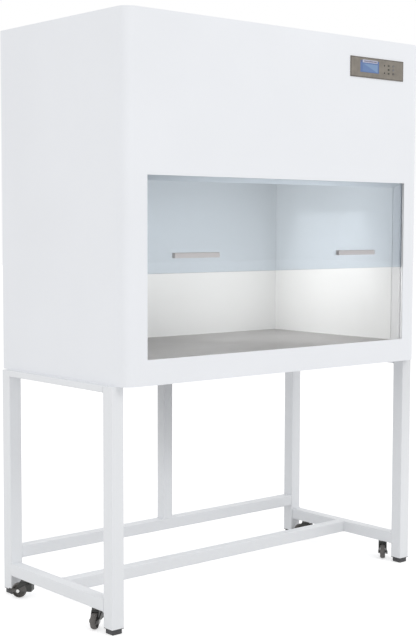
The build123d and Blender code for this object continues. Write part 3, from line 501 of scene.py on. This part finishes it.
# ---- Control panel
# A warm grey printed plate over the cut-out, with a blue display, six small keys and two dark
# indicators. The border and the display's heading are plain printed shapes, a hair proud.
fascia = finish("fascia_print", moulded, {"Color": (0.218, 0.196, 0.166, 1), "Gloss": 0.42},
                bump=0.15)
lens_dark = finish("lens_dark", moulded, {"Color": (0.022, 0.021, 0.02, 1), "Gloss": 0.2},
                   bump=0.02)
ink_dark = finish("ink_dark", moulded, {"Color": (0.12, 0.107, 0.095, 1), "Gloss": 0.6}, bump=0.1)
ink_violet = finish("ink_violet", moulded, {"Color": (0.135, 0.118, 0.165, 1), "Gloss": 0.6},
                    bump=0.1)
ink_pale = finish("ink_pale", moulded, {"Color": (0.44, 0.455, 0.565, 1), "Gloss": 0.5}, bump=0.05)
board_green = finish("board_green", moulded, {"Color": (0.02, 0.12, 0.05, 1), "Gloss": 0.35})
dress(fascia, "control_fascia")
dress(lens_dark, "indicator_lenses")
dress(board_green, "control_board")

# The display's crystal: fine dots, split by a slanting painted glare into deep and bright blue.
crystal, given, put = effect("crystal", [
    ("Color", COLOR, (0.14, 0.22, 0.43, 1)), ("Bright", COLOR, (0.22, 0.34, 0.56, 1)),
    ("Middle", VECTOR, (0, 0, 0)), ("Gloss", FLOAT, 0.14)])
place = node(crystal, "ShaderNodeTexCoord").outputs["Object"]
local = node(crystal, "ShaderNodeVectorMath", place, given.outputs["Middle"],
             operation="SUBTRACT").outputs["Vector"]
axes = node(crystal, "ShaderNodeSeparateXYZ", local)
slope = reckon(crystal, "MULTIPLY_ADD", axes.outputs["X"], 0.38, axes.outputs["Z"])
# Painted glare: past a slanting line through the middle the blue turns to the brighter one.
painted_glare = spread(crystal, slope, 0, 1, -0.001, 0.002)
blue = either(crystal, painted_glare, given.outputs["Color"], given.outputs["Bright"])
dots = noise(crystal, place, 2200.0, 0.0)
crystal.links.new(shade(crystal, blue, spread(crystal, dots, 0.95, 1.05)),
                  put.inputs["Color"])
crystal.links.new(reckon(crystal, "ADD", given.outputs["Gloss"],
                         spread(crystal, noise(crystal, place, 60.0), -0.03, 0.04)),
                  put.inputs["Roughness"])
crystal.links.new(noise(crystal, place, 30.0), put.inputs["Height"])

low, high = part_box("display_window")
middle = (low + high) / 2
lit_middle = middle + Vector((0.003, 0, -0.0045))
deep = (0.108, 0.178, 0.375, 1)
display = finish("display_blue", crystal, {"Color": deep, "Bright": deep, "Middle": middle},
                 bump=0.02)
# The lit screen wears the painted glare; the window round it is one deep blue.
screen = finish("screen_blue_painted_glare", crystal, {
    "Color": (0.128, 0.215, 0.415, 1), "Bright": (0.188, 0.298, 0.485, 1),
    "Middle": lit_middle}, bump=0.02)
dress(display, "display_window")


def bar(form, x, y, z, width, height, thick=0.0002):
    """A printed rectangle on the panel's upright face, as thick as its ink."""
    shape = bmesh.ops.create_cube(form, size=1.0)["verts"]
    bmesh.ops.scale(form, verts=shape, vec=(width, thick, height))
    bmesh.ops.translate(form, verts=shape, vec=(x, y, z))


lit_width, lit_height, heading_height, heading_thick = 0.074, 0.0265, 0.0098, 0.0006
lit_area = bmesh.new()
bar(lit_area, lit_middle.x, low.y, lit_middle.z, lit_width, lit_height)
piece(lit_area, "display_screen", screen, "cabinet", flat=True)
heading_line = high.z - 0.0025
heading = bmesh.new()
bar(heading, middle.x + 0.002, low.y, heading_line, lit_width, heading_height, heading_thick)
piece(heading, "display_heading", ink_pale, "cabinet", flat=True)
dash_pitch, dash_height, long_dash, short_dash = 0.0046, 0.0036, 0.0038, 0.0026
dashes = bmesh.new()
for i in range(14):
    bar(dashes, middle.x - 6 * dash_pitch + i * dash_pitch, low.y - heading_thick / 2,
        heading_line, long_dash if i % 5 else short_dash, dash_height, 0.0001)
mark = 0.0042
bar(dashes, low.x + mark, low.y, high.z - 0.0036, mark, mark)
piece(dashes, "display_dashes", ink_violet, "cabinet", flat=True)

low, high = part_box("control_fascia")
middle = (low + high) / 2
line_width, line_inset, line_short = 0.0026, 0.0018, 0.001
border = bmesh.new()
for z in (low.z + line_inset, high.z - line_inset):
    bar(border, middle.x, low.y, z, high.x - low.x - line_short, line_width)
for x in (low.x + line_inset, high.x - line_inset):
    bar(border, x, low.y, middle.z, line_width, high.z - low.z - line_short)
piece(border, "fascia_border", ink_dark, "cabinet", flat=True)

# The keys' legends are printed flush: a triangle on each of the first three, an arc on the rest.
printed_key, given, put = effect("printed_key", [
    ("Color", COLOR, (0.2, 0.19, 0.17, 1)), ("Ink", COLOR, (0.03, 0.03, 0.03, 1)),
    ("Middle", VECTOR, (0, 0, 0)), ("Size", FLOAT, 0.0027), ("Up", FLOAT, 1.0),
    ("Arc", FLOAT, 0.0), ("Gloss", FLOAT, 0.5)])
place = node(printed_key, "ShaderNodeTexCoord").outputs["Object"]
local = node(printed_key, "ShaderNodeVectorMath", place, given.outputs["Middle"],
             operation="SUBTRACT").outputs["Vector"]
on_face = node(printed_key, "ShaderNodeVectorMath", local, (1, 0, 1),
               operation="MULTIPLY").outputs["Vector"]
axes = node(printed_key, "ShaderNodeSeparateXYZ", on_face)
# The triangle is the place where the distances to its two slopes and its foot are all small.
rise = reckon(printed_key, "MULTIPLY", axes.outputs["Z"], given.outputs["Up"])
half = reckon(printed_key, "MULTIPLY", rise, 0.5)
slopes = reckon(printed_key, "MULTIPLY_ADD",
                reckon(printed_key, "ABSOLUTE", axes.outputs["X"]), 0.866, half)
edge = reckon(printed_key, "MAXIMUM", slopes, reckon(printed_key, "MULTIPLY", rise, -1.0))
triangle = reckon(printed_key, "LESS_THAN", edge,
                  reckon(printed_key, "MULTIPLY", given.outputs["Size"], 0.5))
# The arc is a thick circle, cut off below its ends.
arc_radius, arc_half_width, arc_ends = 0.8, 0.24, -0.0004
from_middle = node(printed_key, "ShaderNodeVectorMath", on_face,
                   operation="LENGTH").outputs["Value"]
off_line = reckon(printed_key, "ABSOLUTE", reckon(
    printed_key, "SUBTRACT", from_middle,
    reckon(printed_key, "MULTIPLY", given.outputs["Size"], arc_radius)))
circle = reckon(printed_key, "LESS_THAN", off_line,
                reckon(printed_key, "MULTIPLY", given.outputs["Size"], arc_half_width))
arch = reckon(printed_key, "MULTIPLY", circle,
              reckon(printed_key, "GREATER_THAN", axes.outputs["Z"], arc_ends))
legend = node(printed_key, "ShaderNodeMix", given.outputs["Arc"], None, triangle, arch).outputs[0]
cap_color = either(printed_key, legend, given.outputs["Color"], given.outputs["Ink"])
cloud = spread(printed_key, noise(printed_key, place, 90.0), 0.92, 1.08)
printed_key.links.new(shade(printed_key, cap_color, cloud), put.inputs["Color"])
printed_key.links.new(reckon(printed_key, "ADD", given.outputs["Gloss"],
                             spread(printed_key, noise(printed_key, place, 200.0), -0.05, 0.05)),
                      put.inputs["Roughness"])
printed_key.links.new(noise(printed_key, place, 1800.0, 1.0), put.inputs["Height"])

triangle_size, arc_size = 0.0034, 0.0038
green_black = (0.012, 0.014, 0.010, 1)
for number, cap, legend_ink, up, arc in (
    (1, (0.120, 0.115, 0.090, 1), green_black, 1, 0),
    (2, (0.095, 0.095, 0.070, 1), green_black, 1, 0),
    (3, (0.115, 0.110, 0.085, 1), green_black, -1, 0),
    (4, (0.205, 0.200, 0.205, 1), (0.06, 0.06, 0.075, 1), 1, 1),
    (5, (0.210, 0.205, 0.215, 1), (0.08, 0.08, 0.11, 1), 1, 1),
    (6, (0.130, 0.122, 0.115, 1), (0.016, 0.015, 0.016, 1), 1, 1),
):
    low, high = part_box(f"key_{number}")
    worn = finish(f"key_print_{number}", printed_key, {
        "Color": cap, "Ink": legend_ink, "Middle": (low + high) / 2, "Up": up, "Arc": arc,
        "Size": arc_size if arc else triangle_size}, bump=0.15)
    dress(worn, f"key_{number}")

# ---- Power inlet
# A black moulded inlet screwed to the rear panel. Its three blades are plated brass, sleeved over
# the moulded roots, with their ends eased.
inlet_black = finish("inlet_black", moulded, {"Color": (0.022, 0.022, 0.024, 1), "Gloss": 0.45},
                     bump=0.25)
dress(inlet_black, "power_inlet")
low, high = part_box("power_inlet")
middle = (low + high) / 2
blade_size, blade_depth = (0.0023, 0.0131, 0.0043), 0.0094
blades = bmesh.new()
for x, z in ((0, 0.002), (-0.007, -0.002), (0.007, -0.002)):
    blade = bmesh.ops.create_cube(blades, size=1.0)["verts"]
    bmesh.ops.scale(blades, verts=blade, vec=blade_size)
    bmesh.ops.translate(blades, verts=blade,
                        vec=(middle.x + x, high.y - blade_depth, middle.z + z))
    bmesh.ops.bevel(blades, geom=[e for e in blades.edges if all(v in blade for v in e.verts)],
                    affect="EDGES", offset=0.0004, segments=2, profile=0.5, material=-1)
piece(blades, "inlet_blades", zinc, "cabinet")

# ---- Room, light and camera
# A white floor that keeps the object's shadow, even light from all round with a soft key from
# the front, small lamps in the chamber for its own tubes' light, and the camera.
def shown(tree):
    """1 for a ray from the camera, off gloss or through glass. Those see the plain white room."""
    rays = node(tree, "ShaderNodeLightPath").outputs
    direct = reckon(tree, "MAXIMUM", rays["Is Camera Ray"], rays["Is Glossy Ray"])
    return reckon(tree, "MAXIMUM", direct, rays["Is Transmission Ray"])


room = bmesh.new()
bmesh.ops.create_grid(room, x_segments=2, y_segments=2, size=30.0)
floor_mesh = bpy.data.meshes.new("floor")
room.to_mesh(floor_mesh)
room.free()
floor = bpy.data.objects.new("floor", floor_mesh)
bpy.context.scene.collection.objects.link(floor)
floor_paint = bpy.data.materials.new("floor_paint")
floor_paint.use_nodes = True
tree = floor_paint.node_tree
tree.nodes.clear()
# The glow lifts the floor to the backdrop's white where it is seen, and its shadow stays.
matte = node(tree, "ShaderNodeBsdfDiffuse", (0.78, 0.78, 0.78, 1))
glow = node(tree, "ShaderNodeEmission", (1, 1, 1, 1), 0.5)
lit = node(tree, "ShaderNodeAddShader", matte.outputs[0], glow.outputs[0])
choice = node(tree, "ShaderNodeMixShader", shown(tree), matte.outputs[0], lit.outputs[0])
node(tree, "ShaderNodeOutputMaterial", choice.outputs[0])
floor_mesh.materials.append(floor_paint)

world = bpy.data.worlds.new("studio")
bpy.context.scene.world = world
world.use_nodes = True
tree = world.node_tree
tree.nodes.clear()
light_on_object, backdrop = 0.81, 1.0
level = spread(tree, shown(tree), light_on_object, backdrop, 0, 1)
sky = node(tree, "ShaderNodeBackground", (1, 1, 1, 1), level)
node(tree, "ShaderNodeOutputWorld", sky.outputs[0])


def lamp(name, at, target, size, power):
    """A soft area lamp that faces its target."""
    light = bpy.data.lights.new(name, "AREA")
    light.shape = "DISK"
    light.size = size
    light.energy = power
    made = bpy.data.objects.new(name, light)
    bpy.context.scene.collection.objects.link(made)
    made.location = at
    made.rotation_euler = (Vector(target) - Vector(at)).to_track_quat("-Z", "Y").to_euler()
    return made


for name, at, target, power in (("key", (1.6, -5.2, 4.4), (0, 0, 1.1), 78),
                                ("fill", (-5.0, -1.0, 3.4), (0, 0, 1.0), 36)):
    studio = lamp(name, at, target, 3.0, power)
    studio.visible_glossy = studio.visible_transmission = False
for name, at, target, width, depth, power, opening in (
    ("chamber_left", (-0.55, -0.02, 1.12), (0.5, -0.02, 1.12), 0.5, 0.46, 1.34, 80),
    ("chamber_front", (0.05, -0.31, 1.12), (0.05, 0.3, 1.12), 0.9, 0.42, 0.86, 110),
    ("chamber_top", (0.36, 0.02, 1.30), (0.36, 0.02, 0.8), 0.4, 0.36, 0.66, 90),
    ("chamber_low", (0, -0.16, 0.84), (0, -0.26, 1.4), 1.0, 0.14, 1.0, 80),
):
    inside = lamp(name, at, target, width, power)
    inside.data.shape, inside.data.size_y = "RECTANGLE", depth
    inside.data.spread = radians(opening)
    inside.visible_camera = inside.visible_glossy = inside.visible_transmission = False

scene = bpy.context.scene
scene.view_settings.view_transform = "Standard"
yaw, pitch, roll = radians(40.505), radians(-4.249), radians(0.146)
stand_point = Vector((-2.8911, -3.33325, 1.2292))
ahead = Vector((sin(yaw) * cos(pitch), cos(yaw) * cos(pitch), sin(pitch)))
right = Vector((cos(yaw), -sin(yaw), 0))
up = right.cross(ahead)
across = right * cos(roll) + up * sin(roll)
upward = up * cos(roll) - right * sin(roll)
camera_data = bpy.data.cameras.new("camera")
camera_data.lens = 72.055
camera_data.clip_end = 200
camera = bpy.data.objects.new("camera", camera_data)
scene.collection.objects.link(camera)
camera.matrix_world = Matrix.Translation(stand_point) @ Matrix(
    (across, upward, -ahead)).transposed().to_4x4()
scene.camera = camera
